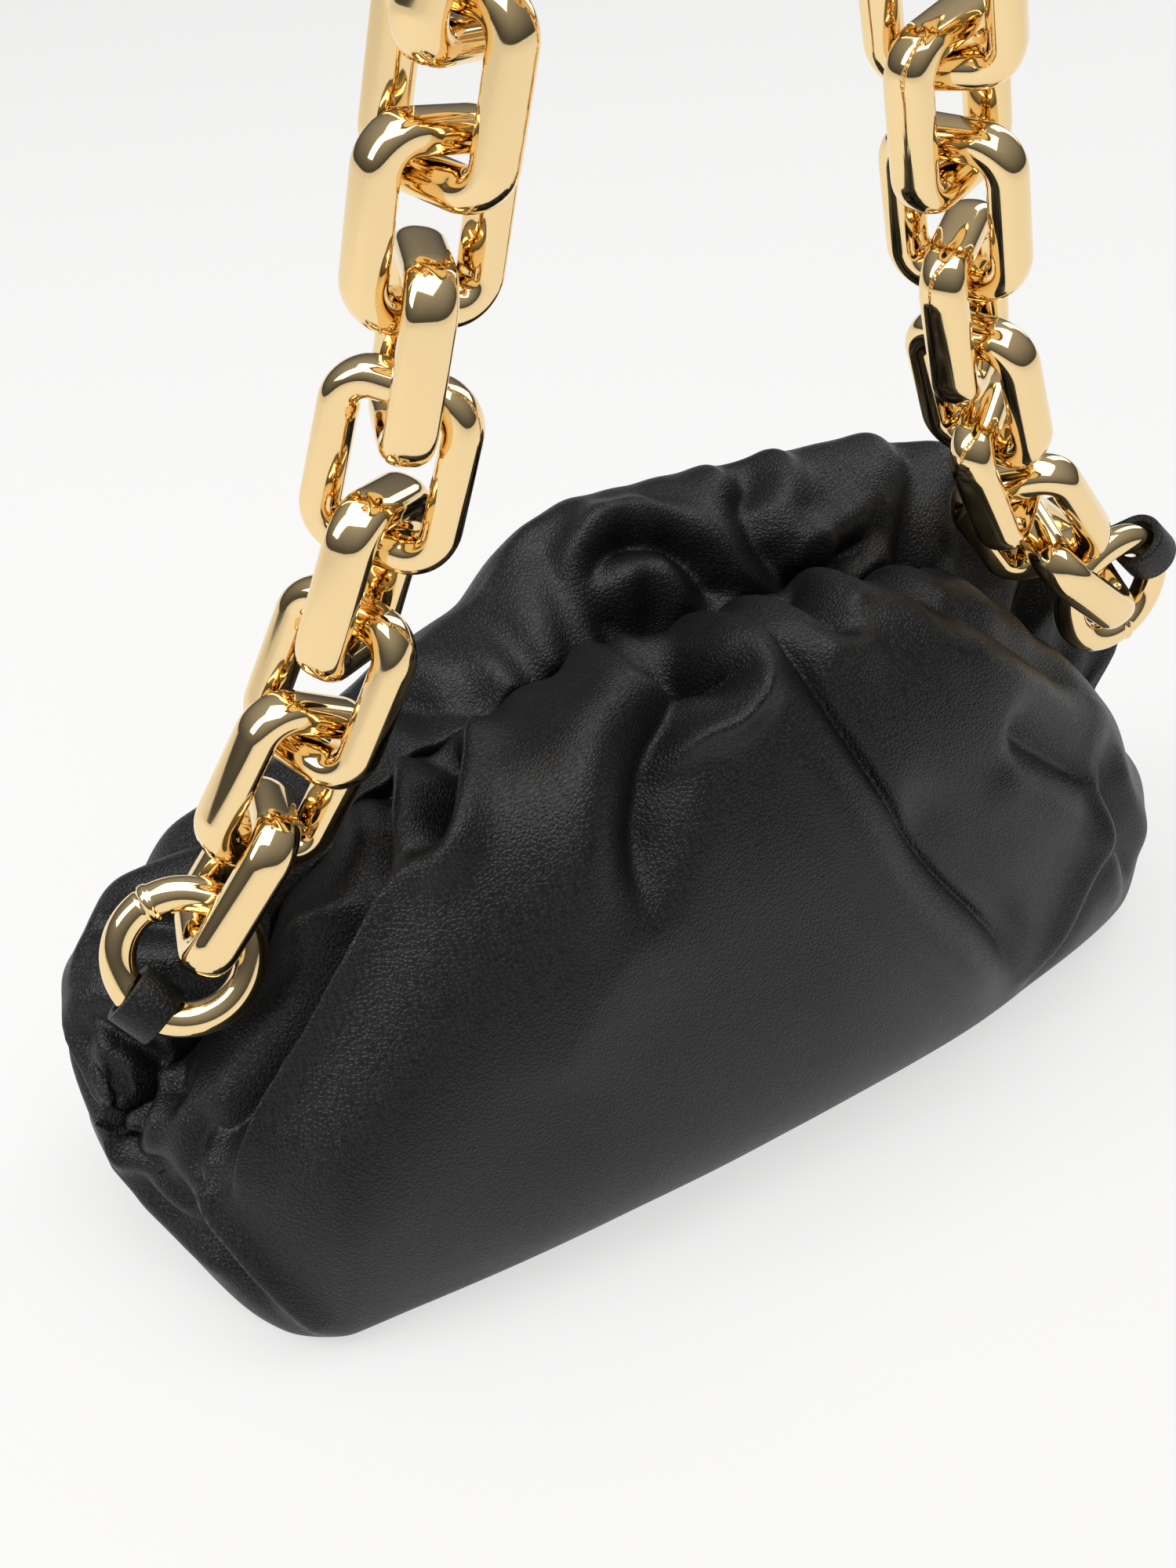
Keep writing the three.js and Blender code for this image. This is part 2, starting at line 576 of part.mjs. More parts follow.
function linkName(index) {
  if (index === topLink) return "chain_link_top";
  const side = index < topLink ? "left" : "right";
  const place = index < topLink ? index + 1 : LINK_COUNT - index;
  return `chain_link_${side}_${String(place).padStart(2, "0")}`;
}

let turn = FIRST_LINK_TURN;
for (let i = 0; i < LINK_COUNT; i++) {
  const axis = new THREE.Vector3().subVectors(joints[i + 1], joints[i]).normalize();
  const face = turned(squareTo(axis, CHAIN_FACE), axis, -turn);
  const width = new THREE.Vector3().crossVectors(face, axis);
  const middle = joints[i].clone().lerp(joints[i + 1], 0.5);
  const link = addPiece(linkName(i), linkGeometry(), gold);
  link.applyMatrix4(new THREE.Matrix4().makeBasis(axis, width, face).setPosition(middle));
  turn += TURNS[LINK_TURNS[i]] ?? 0;
}

export default bag;
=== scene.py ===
"""Looks of a gathered black leather clutch on a heavy gold chain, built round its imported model.

Metres, +Z up. Profiles and folds are written in millimetres.
"""

import json
import math

import bmesh
import bpy
import numpy as np
from mathutils import Matrix, Vector


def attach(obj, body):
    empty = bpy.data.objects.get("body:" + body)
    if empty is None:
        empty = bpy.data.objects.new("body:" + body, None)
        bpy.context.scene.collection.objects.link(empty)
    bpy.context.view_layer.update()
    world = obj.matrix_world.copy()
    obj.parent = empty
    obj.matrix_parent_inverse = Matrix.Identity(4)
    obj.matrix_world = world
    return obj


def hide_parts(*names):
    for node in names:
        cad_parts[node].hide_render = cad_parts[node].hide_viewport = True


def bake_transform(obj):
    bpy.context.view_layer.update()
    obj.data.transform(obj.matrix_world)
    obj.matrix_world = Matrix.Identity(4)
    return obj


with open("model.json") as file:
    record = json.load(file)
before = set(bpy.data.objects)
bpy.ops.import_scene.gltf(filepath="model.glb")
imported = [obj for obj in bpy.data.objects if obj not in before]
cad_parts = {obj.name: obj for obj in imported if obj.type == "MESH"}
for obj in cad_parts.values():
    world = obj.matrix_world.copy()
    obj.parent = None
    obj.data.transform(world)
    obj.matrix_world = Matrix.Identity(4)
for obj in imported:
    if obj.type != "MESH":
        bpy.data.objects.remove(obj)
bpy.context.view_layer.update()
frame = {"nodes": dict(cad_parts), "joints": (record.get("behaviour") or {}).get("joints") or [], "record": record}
body_of = {node: body for body, nodes in frame["record"]["behaviour"]["bodies"].items() for node in nodes}

MM = 0.001

# Viewpoint: where the camera stands, its azimuth and elevation in degrees, its lens and sensor in millimetres
CAMERA_PLACE = Vector((-0.2532, -0.3704, 0.3982))
CAMERA_AZIMUTH = -31.257
CAMERA_ELEVATION = 35.218
CAMERA_LENS = 48.8
SENSOR_HEIGHT = 36.0
NEAR_CLIP = 0.01

# Leather profiles along the bag: share of the half length, millimetres
HALF_LENGTH = 157 * MM
LEFT_REACH = 1.03
FRONT_DEPTH = [
    (-1.03, 0), (-1.012, 6), (-0.984, 16), (-0.956, 30), (-0.91, 46), (-0.846, 57), (-0.8, 61), (-0.36, 68),
    (0, 67), (0.35, 60), (0.65, 49), (0.84, 37), (0.92, 27), (0.965, 14), (0.985, 5), (1, 0)]
REAR_DEPTH = [
    (-1.03, 0), (-1.025, 14), (-1.016, 25), (-0.993, 34), (-0.947, 42), (-0.892, 48), (-0.76, 56), (-0.3, 62),
    (0, 62), (0.4, 60), (0.7, 51), (0.86, 36), (0.93, 25), (0.97, 13), (1, 0)]
FRONT_CREST = [
    (-1.03, 38), (-0.91, 60), (-0.818, 75), (-0.7, 97), (-0.55, 121), (-0.3, 138), (0, 144), (0.35, 138),
    (0.6, 110), (0.8, 78), (0.9, 60), (0.96, 46), (1, 38)]
REAR_CREST = [
    (-1.03, 60), (-0.993, 70), (-0.92, 79), (-0.79, 91), (-0.57, 111), (-0.42, 124), (-0.27, 135),
    (-0.21, 147), (-0.16, 152), (-0.09, 155), (0, 154), (0.2, 153), (0.46, 150), (0.68, 140), (0.87, 121),
    (0.95, 102), (0.98, 84), (1, 52)]
VALLEY = [
    (-1.03, 33), (-0.91, 54), (-0.8, 70), (-0.68, 93), (-0.54, 114), (-0.3, 124), (0, 126), (0.35, 124),
    (0.58, 109), (0.76, 78), (0.9, 56), (1, 28)]
BULGE_HEIGHT = [(-1.03, 42), (0.5, 42), (0.8, 34), (0.95, 26), (1, 22)]
BASE_LIFT = [
    (-1.03, 29), (-1.002, 20), (-0.966, 10), (-0.92, 3), (-0.874, 0), (0.86, 0), (0.92, 2), (0.96, 6),
    (1, 16)]
# How far the base edge lies in from the bulge, in millimetres
FRONT_INSET = [
    (-1.03, 0), (-0.966, 5), (-0.828, 9), (-0.6, 15), (-0.3, 22), (0, 26), (0.4, 20), (0.7, 17), (0.9, 9),
    (1, 0)]
REAR_INSET = [(-1.03, 0), (-0.966, 8), (-0.8, 12), (-0.3, 20), (0.3, 20), (0.8, 12), (0.95, 8), (1, 0)]
# Where the crest lies, as a share of the depth
FRONT_CREST_PLACE = [(-1.03, 0.44), (1, 0.44)]
REAR_CREST_PLACE = [(-1.03, 0.85), (-0.966, 0.8), (-0.846, 0.6), (-0.6, 0.46), (1, 0.44)]

# Half-sections: the most that the bulge takes of the crest's height and the inset of the depth, the handles
# of the curves as shares of the stretch that each one spans, and the steps of a curve
BULGE_LIMIT = 0.45
INSET_LIMIT = 0.5
BASE_HANDLE = 0.4
FLANK_HANDLE = 0.6
SHOULDER_HANDLE = 0.5
ROLL_HANDLE = 0.45
MOUTH_HANDLE = 0.12
MOUTH_RISE = 0.55
CURVE_STEPS = 60

# The two skins of the leather, by the way that they face along Y
SIDES = {"front": -1, "rear": 1}
# Grid of a skin: stations along the bag, closer together at its ends, points up each section and across the
# base, the stations over which both skins bend together at an end, and the least length of a normal
STATIONS = 300
STATION_SPREAD = 0.86
SECTION_POINTS = 190
BASE_POINTS = 24
END_STATIONS = 10
LEAST_NORMAL = 1e-12
# Least distance of a skin from the middle of the bag, and how its points are smoothed
SKIN_GAP = 0.15 * MM
SMOOTHING_ROUNDS = 2
SMOOTHING_SHARE = 0.5
# Lip that turns down into the mouth: its depth, which is limited to a share of its height, and its distance
# from the middle
LIP_POINTS = 12
LIP_DEPTH = 14 * MM
LIP_LIMIT = 0.4
LIP_GAP = 0.08 * MM

# Folds of the leather. Each has a line of (mm along the bag, share of the way up from base to closure), then
# in mm: the line's depth (below zero for a ridge) and half width; heights of the ridges to the right and to
# the left of a line that runs down, seen from outside, and their distance from it; how far the leather beside
# the line leans over it to the right (below zero, to the left). Last are the weights at the line's two ends.
FRONT_FOLDS = [
    # The deep fold below the middle of the closure, with its pocket and its tongue
    ([(-21, 0.9), (-24, 0.81), (-32, 0.76), (-39, 0.73), (-45, 0.67), (-48, 0.61), (-48, 0.53)],
     (9, 8), (0.5, 4, 14), 0, (1, 0)),
    ([(-48, 0.58), (-55, 0.53), (-64, 0.5), (-74, 0.44), (-79, 0.38)], (-1.6, 14), (0, 0, 14), 0, (0, 0)),
    ([(-21, 0.88), (-19, 0.82), (-16, 0.785), (-10, 0.775)], (13, 4.2), (0, 0, 8), 0, (0.8, 0.4)),
    ([(-4, 0.8), (-7, 0.765), (-11, 0.742), (-18, 0.725), (-27, 0.73), (-34, 0.72), (-38, 0.69)],
     (-7.5, 3.8), (0, 0, 8), 0, (0.5, 0)),
    # The long diagonal crease, with the hollow and the ridge to its right
    ([(1, 0.79), (5, 0.71), (9, 0.66), (15, 0.6), (22, 0.54), (29, 0.48), (39, 0.41), (51, 0.34), (66, 0.25),
      (76, 0.16)],
     (6, 4), (0, 3.5, 10), 3.5, (0.6, 0.1)),
    ([(22, 0.6), (34, 0.52), (50, 0.43), (66, 0.34), (79, 0.23)], (6, 9), (0, 0, 14), 0, (0, 0.2)),
    ([(30, 0.54), (42, 0.49), (60, 0.4), (71, 0.34), (77, 0.26), (79, 0.19)],
     (-2.4, 7), (0, 0, 10), 0, (0, 0.2)),
    # Right end
    ([(62, 0.63), (74, 0.61), (86, 0.595), (98, 0.575), (106, 0.54)], (7, 8), (0, 2.5, 12), 0, (0, 0.4)),
    ([(105, 0.53), (104, 0.41), (97, 0.33), (92, 0.26), (82, 0.18), (74, 0.13)],
     (-4, 6), (-2.5, 0, 10), 0, (0.3, 0)),
    ([(112, 0.62), (114, 0.52), (124, 0.4), (134, 0.25)], (5, 5), (2, 2, 9), 0, (0.3, 0.2)),
    # Pleats left of the middle
    ([(-72, 0.97), (-75, 0.89), (-81, 0.85), (-87, 0.81), (-92, 0.785)], (12, 5), (0, 0, 8), 0, (1, 0.2)),
    ([(-64, 0.94), (-67, 0.9), (-73, 0.865), (-78, 0.82), (-84, 0.775), (-90, 0.755), (-97, 0.78)],
     (-7, 5), (0, 0, 8), 0, (0.3, 0)),
    ([(-79, 0.99), (-84, 0.91), (-89, 0.85), (-95, 0.81)], (-6, 4.5), (0, 0, 8), 0, (0.6, 0)),
    ([(-86, 0.99), (-92, 0.91), (-98, 0.86), (-103, 0.83)], (9, 4.5), (0, 0, 8), 0, (1, 0)),
    # Left end: its long ridge and hollow, the base corner, and the pleats round the tab
    ([(-93, 0.78), (-101, 0.77), (-108, 0.74), (-114, 0.72), (-121, 0.69), (-128, 0.67), (-134, 0.64),
      (-140, 0.57), (-145, 0.48)],
     (-6, 4), (0, 0, 10), -3, (0.5, 0.3)),
    ([(-100, 0.85), (-106, 0.82), (-113, 0.79), (-121, 0.765), (-129, 0.74), (-137, 0.71), (-144, 0.67)],
     (11, 6.5), (0, 0, 10), 0, (0.5, 0.6)),
    ([(-147, 0.72), (-149, 0.66), (-150, 0.6), (-149, 0.5)], (6, 4), (0, 0, 8), 0, (0.5, 0)),
    ([(-148, 0.66), (-149, 0.56), (-148, 0.44), (-144, 0.31), (-139, 0.2), (-133, 0.07)],
     (-5, 3.5), (0, 0, 8), 0, (0.5, 0.5)),
    ([(-153, 0.46), (-151, 0.3), (-147, 0.18), (-142, 0.1)], (6, 4), (0, 0, 8), 0, (0.6, 0.2)),
    ([(-161, 0.66), (-157, 0.58), (-152, 0.6)], (5, 4), (0, 0, 8), 0, (0.8, 0)),
    ([(-158, 0.28), (-154, 0.24), (-147, 0.2)], (2.5, 4), (1.5, 1.5, 6), 0, (0.6, 0)),
    ([(-116, 0.9), (-111, 0.87), (-104, 0.84)], (-3.5, 4), (0, 0, 8), 0, (0.4, 0.2)),
    ([(-144, 0.95), (-147, 0.9), (-146, 0.82)], (5, 5), (0, 0, 8), 0, (0.6, 0.2)),
    ([(-150, 0.98), (-156, 0.86), (-160, 0.72)], (4, 3), (2, 1.5, 5), 0, (0.8, 0.6)),
    ([(-158, 0.98), (-160.5, 0.8), (-161, 0.6)], (3, 2.5), (1.5, 1, 4), 0, (0.8, 0.6)),
    # Pleats under the closure, right of the middle
    ([(21, 0.93), (20, 0.85), (21, 0.8), (26, 0.77)], (8, 4.5), (3, 2, 8), 0, (1, 0)),
    ([(8, 0.765), (20, 0.755), (31, 0.76)], (-2.5, 6), (0, 0, 8), 0, (0, 0)),
    ([(46, 0.9), (49, 0.84), (55, 0.795), (72, 0.77), (89, 0.775), (106, 0.75)],
     (5, 7), (0, 2, 12), 0, (0.8, 0.3)),
]
REAR_FOLDS = [
    # Pleats along the closure
    ([(-22, 0.91), (-16, 0.88), (-7, 0.87), (2, 0.89), (7, 0.92), (10, 0.96)],
     (8, 4.5), (4, 1.5, 7), 0, (0.1, 0.9)),
    ([(-26, 0.78), (-28, 0.83), (-29, 0.89), (-23, 0.95), (-14, 0.98)], (4, 9), (2, 1, 14), 0, (0, 0.8)),
    ([(34, 0.76), (33, 0.83), (26, 0.87), (26, 0.92), (30, 0.96), (36, 0.985)],
     (7, 5.5), (4, 2, 9), 0, (0, 1)),
    ([(66, 0.9), (60, 0.94), (54, 0.955), (45, 0.965), (39, 0.985)], (7, 5), (0, 3.5, 8), 0, (0.1, 1)),
    ([(-68, 0.78), (-72, 0.86), (-66, 0.93), (-60, 0.98)], (5, 7), (2, 1.5, 11), 0, (0, 0.9)),
    ([(88, 0.72), (84, 0.82), (76, 0.9), (70, 0.98)], (5, 7), (1.5, 2, 11), 0, (0, 0.9)),
    # Left and right end
    ([(-97, 0.99), (-105, 0.88), (-116, 0.76), (-131, 0.62), (-142, 0.48)],
     (6, 6), (2, 2, 10), 0, (0.8, 0.2)),
    ([(-120, 0.97), (-130, 0.86), (-141, 0.74), (-150, 0.62)], (5, 5), (2, 1.5, 8), 0, (0.8, 0.2)),
    ([(-146, 0.98), (-153, 0.86), (-159, 0.7)], (4.5, 3.5), (2, 2, 6), 0, (0.8, 0.5)),
    ([(-154, 0.98), (-159, 0.82), (-161, 0.62)], (3.5, 3), (1.5, 1.5, 5), 0, (0.8, 0.5)),
    ([(-165, 0.46), (-160, 0.44), (-152, 0.42), (-142, 0.41)], (6, 4), (2.5, 2.5, 8), 0, (1, 0)),
    ([(112, 0.97), (121, 0.84), (131, 0.68), (140, 0.5)], (6, 6), (2, 2, 10), 0, (0.8, 0.2)),
    # Long soft folds down the back
    ([(6, 0.72), (14, 0.6), (26, 0.48), (40, 0.34), (50, 0.22)], (5, 7), (1.5, 2.5, 12), 2, (0, 0)),
    ([(-40, 0.74), (-50, 0.62), (-64, 0.5), (-82, 0.36)], (5, 8), (2, 1.5, 13), 0, (0, 0)),
    ([(72, 0.7), (82, 0.56), (95, 0.42), (108, 0.26)], (4.5, 7), (1.5, 2, 11), 0, (0, 0)),
    ([(-104, 0.7), (-114, 0.54), (-126, 0.38), (-134, 0.2)], (4.5, 6), (2, 1.5, 10), 0, (0, 0)),
]

# Form of a fold: samples along its line and how many smooth it, the usual run of a section in mm, the shares
# of the line between which it has its full weight, how peaked its crease, its ridge and its side ridges are,
# and how far beside the line the leather leans most, as a share of the half width
FOLD_SAMPLES = 80
FOLD_SMOOTHING = 13
SECTION_RUN = 200
FULL_WEIGHT = (0.25, 0.7)
CREASE_SHARE = 0.4
RIDGE_SHARE = 0.3
PEAK_SHARPNESS = 2
SIDE_SHARPNESS = 1.6
LEAN_SHIFT = 0.5
# Height above the base over which folds grow to their full size
FOOT_HEIGHT = 12 * MM

# Small gathers that run down from the closure, on a pitch that drifts along the bag and up the section
GATHER_HEIGHT = 1.3 * MM
GATHER_PITCH = 17 * MM
GATHER_RUN = 0.16
GATHER_DRIFT = 3
GATHER_DRIFT_LENGTH = 31 * MM
GATHER_FAN = 5
GATHER_FAN_LENGTH = 57 * MM

# Softness everywhere: waves along the bag and up it, which wander as they cross each other
SOFT_HEIGHT = 0.8 * MM
SOFT_ALONG = 23 * MM
SOFT_ALONG_WANDER = 1.7
SOFT_ALONG_WANDER_LENGTH = 27 * MM
SOFT_UP = 19 * MM
SOFT_UP_WANDER = 1.3
SOFT_UP_WANDER_LENGTH = 37 * MM
SOFT_ACROSS = 40 * MM

# The right end is drawn in where the closure ends, between the front and the rear puff
NOTCH_START = 118 * MM
NOTCH_DEPTH = 15 * MM
NOTCH_HEIGHT = 61 * MM
NOTCH_SPREAD = 10 * MM

# Lining: its distance inside the leather in millimetres by share of the way up, its least distance from the
# middle and from the floor, the stations left out at each end, and the step of its coarser grid
LINING_SHARES = (0, 0.15, 0.4, 0.9, 1)
LINING_INSETS = (3.4, 5, 13, 16, 15)
LINING_SPLIT = 0.5 * MM
LINING_FLOOR = 4.9 * MM
LINING_END_STATIONS = 8
LINING_STEP = 4

# Tabs: rounded edges of the leather strips
TAB_EDGE = 0.5 * MM
TAB_EDGE_STEPS = 3
TAB_EDGE_PROFILE = 0.5
TAB_SHARP_ANGLE = math.radians(50)
TAB_FLAT_ANGLE = math.radians(2)
TAB_WELD = 1e-6

# Chain links and rings, slimmer than the solids by a few tenths of a millimetre so that they pass each other
LINK_BAR = 8.4 * MM
LINK_THICKNESS = 10.8 * MM
LINK_HOLE_LENGTH = 26.6 * MM
LINK_HOLE_WIDTH = 17.6 * MM
LINK_CORNER = 7 * MM
LINK_CORNER_STEPS = 14
LINK_SECTION_POWER = 2.4
LINK_SECTION_SIDES = 40
RING_RADIUS = 14.7 * MM
RING_TUBE = 8.3 * MM
RING_STEPS = 260
RING_SECTION_POWER = 2.0
RING_SIDES = 40
LOOP_WELD = 1e-7
# Opening seam of a ring: a raised lip, and a groove beside it placed and sized as shares of the lip's width
SEAM_HEIGHT = 0.45 * MM
SEAM_WIDTH = 1.6 * MM
SEAM_SQUARENESS = 6
SEAM_GROOVE = 0.35 * MM
GROOVE_PLACE = 0.75
GROOVE_WIDTH = 0.2

# Leather finish: its gloss, and its grain of pebbles with grooves between them, warped a little and mottled
LEATHER_ROUGHNESS = (0.36, 0.48)
LEATHER_SPECULAR = 0.35
GROOVE_COLOR = (0.0035, 0.0036, 0.004, 1)
PEBBLE_COLOR = (0.0075, 0.0077, 0.0086, 1)
PEBBLE_SCALE = 900.0
PEBBLE_EDGE = 0.28
PEBBLE_BUMP = 0.0003
PEBBLE_STRENGTH = 0.4
WARP_SCALE = 380.0
WARP_DETAIL = 3.0
WARP_REACH = (0.0009, 0.0009, 0.0009)
MOTTLE_SCALE = 60.0
MOTTLE_DETAIL = 6.0
MOTTLE_ROUGHNESS = 0.62
MOTTLE_BUMP = 0.0012
MOTTLE_STRENGTH = 0.1

# Gold finish, with faint smears
GOLD_COLOR = (0.93, 0.7, 0.37, 1)
GOLD_ROUGHNESS = (0.04, 0.11)
SMEAR_SCALE = 120.0
SMEAR_DETAIL = 4.0

# Inner finishes: colour, metallic, roughness, scale of the weave or the brushing
CLOTH_FINISH = ((0.02, 0.019, 0.019), 0.0, 0.85, 2200.0)
STEEL_FINISH = ((0.32, 0.32, 0.33), 1.0, 0.35, 300.0)
FIBRE_FINISH = ((0.07, 0.053, 0.04), 0.0, 0.9, 500.0)
SHADE_RANGE = (0.7, 1.2)
WEAVE_DETAIL = 4.0
WEAVE_BUMP = 0.0003
WEAVE_STRENGTH = 0.3

# Studio: floor, world and softboxes, which have a place, a target and a size in metres and a power in watts
FLOOR_REACH = 6
FLOOR_COLOR = (0.84, 0.835, 0.83, 1)
FLOOR_EVEN_COLOR = (0.93, 0.925, 0.92, 1)
FLOOR_EVEN_SHARE = 0.72
FLOOR_ROUGHNESS = 0.9
WORLD_HORIZON = (0.06, 0.06, 0.06, 1)
WORLD_OVERHEAD = (0.36, 0.36, 0.36, 1)
WORLD_OVERHEAD_START = 0.8
SOFTBOXES = {
    "top_softbox": ((-0.15, -0.15, 1.65), (0, 0, 0.05), (1.7, 1.5), 24),
    "left_softbox": ((-1.1, 0.1, 1.1), (0, 0, 0.1), (0.6, 1.0), 9),
    "right_softbox": ((1.2, 0.5, 0.9), (0, 0, 0.1), (0.4, 1.2), 3.5),
}


def smooth_step(t):
    """A share from 0 to 1, eased at both ends."""
    return t * t * (3 - 2 * t)


def profile_at(profile, shares):
    """Smooth values of a profile at shares of the half length, never beyond its points."""
    x, y = np.array(profile, float).T
    rise = np.diff(y) / np.diff(x)
    before, after = rise[:-1], rise[1:]
    slope = np.zeros_like(y)
    slope[0], slope[-1] = rise[0], rise[-1]
    steady = before * after > 0
    slope[1:-1][steady] = (2 * before * after)[steady] / (before + after)[steady]
    k = np.clip(np.searchsorted(x, shares) - 1, 0, len(x) - 2)
    span = x[k + 1] - x[k]
    t = np.clip((shares - x[k]) / span, 0, 1)
    return ((2 * t**3 - 3 * t**2 + 1) * y[k] + (t**3 - 2 * t**2 + t) * slope[k] * span
            + (3 * t**2 - 2 * t**3) * y[k + 1] + (t**3 - t**2) * slope[k + 1] * span)


def bezier(a, b, c, d, t):
    """Points of a cubic curve, for arrays of handles."""
    return (1 - t)**3 * a + 3 * (1 - t)**2 * t * b + 3 * (1 - t) * t**2 * c + t**3 * d


def half_section(depth, bulge, crest, valley, inset, place, count):
    """Depth and height of half of each cross-section, from the base up over the puff and into the mouth."""
    bulge = np.minimum(bulge, BULGE_LIMIT * crest)
    crest_y = place * depth
    inset = np.minimum(inset, INSET_LIMIT * depth)
    zero = np.zeros_like(depth)
    base_edge, widest, top, mouth = (depth - inset, zero), (depth, bulge), (crest_y, crest), (zero, valley)
    curves = [
        (base_edge, (depth - BASE_HANDLE * inset, zero), (depth, BASE_HANDLE * bulge), widest),
        (widest, (depth, bulge + FLANK_HANDLE * (crest - bulge)),
         (crest_y + SHOULDER_HANDLE * (depth - crest_y), crest), top),
        (top, (ROLL_HANDLE * crest_y, crest),
         (MOUTH_HANDLE * crest_y, valley + MOUTH_RISE * (crest - valley)), mouth)]
    ys, zs = [], []
    for a, b, c, d in curves:
        for t in np.linspace(0, 1, CURVE_STEPS)[:-1]:
            ys.append(bezier(a[0], b[0], c[0], d[0], t))
            zs.append(bezier(a[1], b[1], c[1], d[1], t))
    ys.append(zero)
    zs.append(valley)
    ys, zs = np.array(ys), np.array(zs)
    out = np.zeros((len(depth), count, 2))
    for i in range(len(depth)):
        run = np.concatenate([[0], np.cumsum(np.hypot(np.diff(ys[:, i]), np.diff(zs[:, i])))])
        even = np.linspace(0, run[-1], count)
        out[i, :, 0] = np.interp(even, run, ys[:, i])
        out[i, :, 1] = np.interp(even, run, zs[:, i])
    return out


def skin_grid(side):
    """Points of the front (side -1) or rear (side 1) leather without folds, by station and place up it."""
    spread = math.pi / 2 * STATION_SPREAD
    shares = np.sin(np.linspace(-1, 1, STATIONS) * spread) / math.sin(spread)
    shares = np.where(shares < 0, shares * LEFT_REACH, shares)
    depth = profile_at(FRONT_DEPTH if side < 0 else REAR_DEPTH, shares) * MM
    crest = profile_at(FRONT_CREST if side < 0 else REAR_CREST, shares) * MM
    valley = profile_at(VALLEY, shares) * MM
    inset = profile_at(FRONT_INSET if side < 0 else REAR_INSET, shares) * MM
    place = profile_at(FRONT_CREST_PLACE if side < 0 else REAR_CREST_PLACE, shares)
    bulge = profile_at(BULGE_HEIGHT, shares) * MM
    half = half_section(depth, bulge, crest, valley, inset, place, SECTION_POINTS)
    lift = profile_at(BASE_LIFT, shares) * MM
    half[:, :, 1] = lift[:, None] + half[:, :, 1] * (1 - lift / crest)[:, None]
    grid = np.zeros((STATIONS, SECTION_POINTS, 3))
    grid[:, :, 0] = (shares * HALF_LENGTH)[:, None]
    grid[:, :, 1] = side * half[:, :, 0]
    grid[:, :, 2] = half[:, :, 1]
    return grid


def normals_of(grid, side):
    """Outward normals of a skin."""
    normals = np.cross(np.gradient(grid, axis=0), np.gradient(grid, axis=1)) * -side
    return normals / np.maximum(np.linalg.norm(normals, axis=-1, keepdims=True), LEAST_NORMAL)


def smoothed_line(values):
    """Values along a line, each averaged with its neighbours, with the two ends kept."""
    kernel = np.hanning(FOLD_SMOOTHING) / np.hanning(FOLD_SMOOTHING).sum()
    padded = np.pad(values, FOLD_SMOOTHING // 2, mode="reflect", reflect_type="odd")
    return np.convolve(padded, kernel, "valid")


def on_grid(grid, points):
    """Places on a skin for (mm along the bag, share up) pairs, joined by a smooth line."""
    points = np.array(points, float)
    steps = np.hypot(np.diff(points[:, 0]), SECTION_RUN * np.diff(points[:, 1]))
    run = np.concatenate([[0], np.cumsum(steps)])
    even = np.linspace(0, run[-1], FOLD_SAMPLES)
    x = smoothed_line(np.interp(even, run, points[:, 0]) * MM)
    up = smoothed_line(np.interp(even, run, points[:, 1]))
    row = np.interp(x, grid[:, 0, 0], np.arange(len(grid)))
    column = np.clip(up, 0, 1) * (grid.shape[1] - 1)
    i = np.clip(row.astype(int), 0, grid.shape[0] - 2)
    j = np.clip(column.astype(int), 0, grid.shape[1] - 2)
    a, b = (row - i)[:, None], (column - j)[:, None]
    return ((1 - a) * (1 - b) * grid[i, j] + a * (1 - b) * grid[i + 1, j]
            + (1 - a) * b * grid[i, j + 1] + a * b * grid[i + 1, j + 1])


def fold_moves(grid, normals, fold):
    """How far one fold lifts each point of a skin along its normal, and its lean as a vector, in mm."""
    points, (depth, width), (right, left, offset), slant, ends = fold
    line = on_grid(grid, points)
    way = np.gradient(line, axis=0)
    way /= np.linalg.norm(way, axis=1, keepdims=True)
    gap = np.linalg.norm(grid[:, :, None, :] - line[None, None, :, :], axis=-1)
    nearest = gap.argmin(axis=2)
    gap = gap.min(axis=2) / MM
    across = np.cross(normals, way[nearest])
    signed = gap * np.sign(((grid - line[nearest]) * across).sum(-1))
    place = nearest / (FOLD_SAMPLES - 1)
    weight = smooth_step(np.interp(place, [0, *FULL_WEIGHT, 1], [ends[0], 1, 1, ends[1]]))
    peak = CREASE_SHARE if depth > 0 else RIDGE_SHARE
    round_form = (1 - peak) * np.exp(-(gap / width) ** 2)
    peaked_form = peak * np.exp(-PEAK_SHARPNESS * gap / width)
    lift = weight * (-depth * (round_form + peaked_form)
                     + right * np.exp(-((signed - offset) / offset * SIDE_SHARPNESS) ** 2)
                     + left * np.exp(-((signed + offset) / offset * SIDE_SHARPNESS) ** 2))
    beside = signed + LEAN_SHIFT * width * np.sign(slant)
    lean = (weight * slant * np.exp(-(beside / width) ** 2))[:, :, None] * across
    return lift, lean


def gathers(x, up, side):
    """Height in millimetres of the small gathers at the closure."""
    phase = (2 * math.pi * x / GATHER_PITCH + GATHER_DRIFT * np.sin(x / GATHER_DRIFT_LENGTH + side)
             + GATHER_FAN * np.sin(x / GATHER_FAN_LENGTH) * up)
    return GATHER_HEIGHT / MM * np.sin(phase) * np.exp(-((1 - up) / GATHER_RUN) ** 2)


def softness(x, y, z, side):
    """Height in millimetres of the soft waves of the leather."""
    along = np.sin(x / SOFT_ALONG + SOFT_ALONG_WANDER * np.sin(z / SOFT_ALONG_WANDER_LENGTH) + side)
    up = np.sin(z / SOFT_UP + SOFT_UP_WANDER * np.sin(x / SOFT_UP_WANDER_LENGTH) + y / SOFT_ACROSS)
    return SOFT_HEIGHT / MM * (along * up)


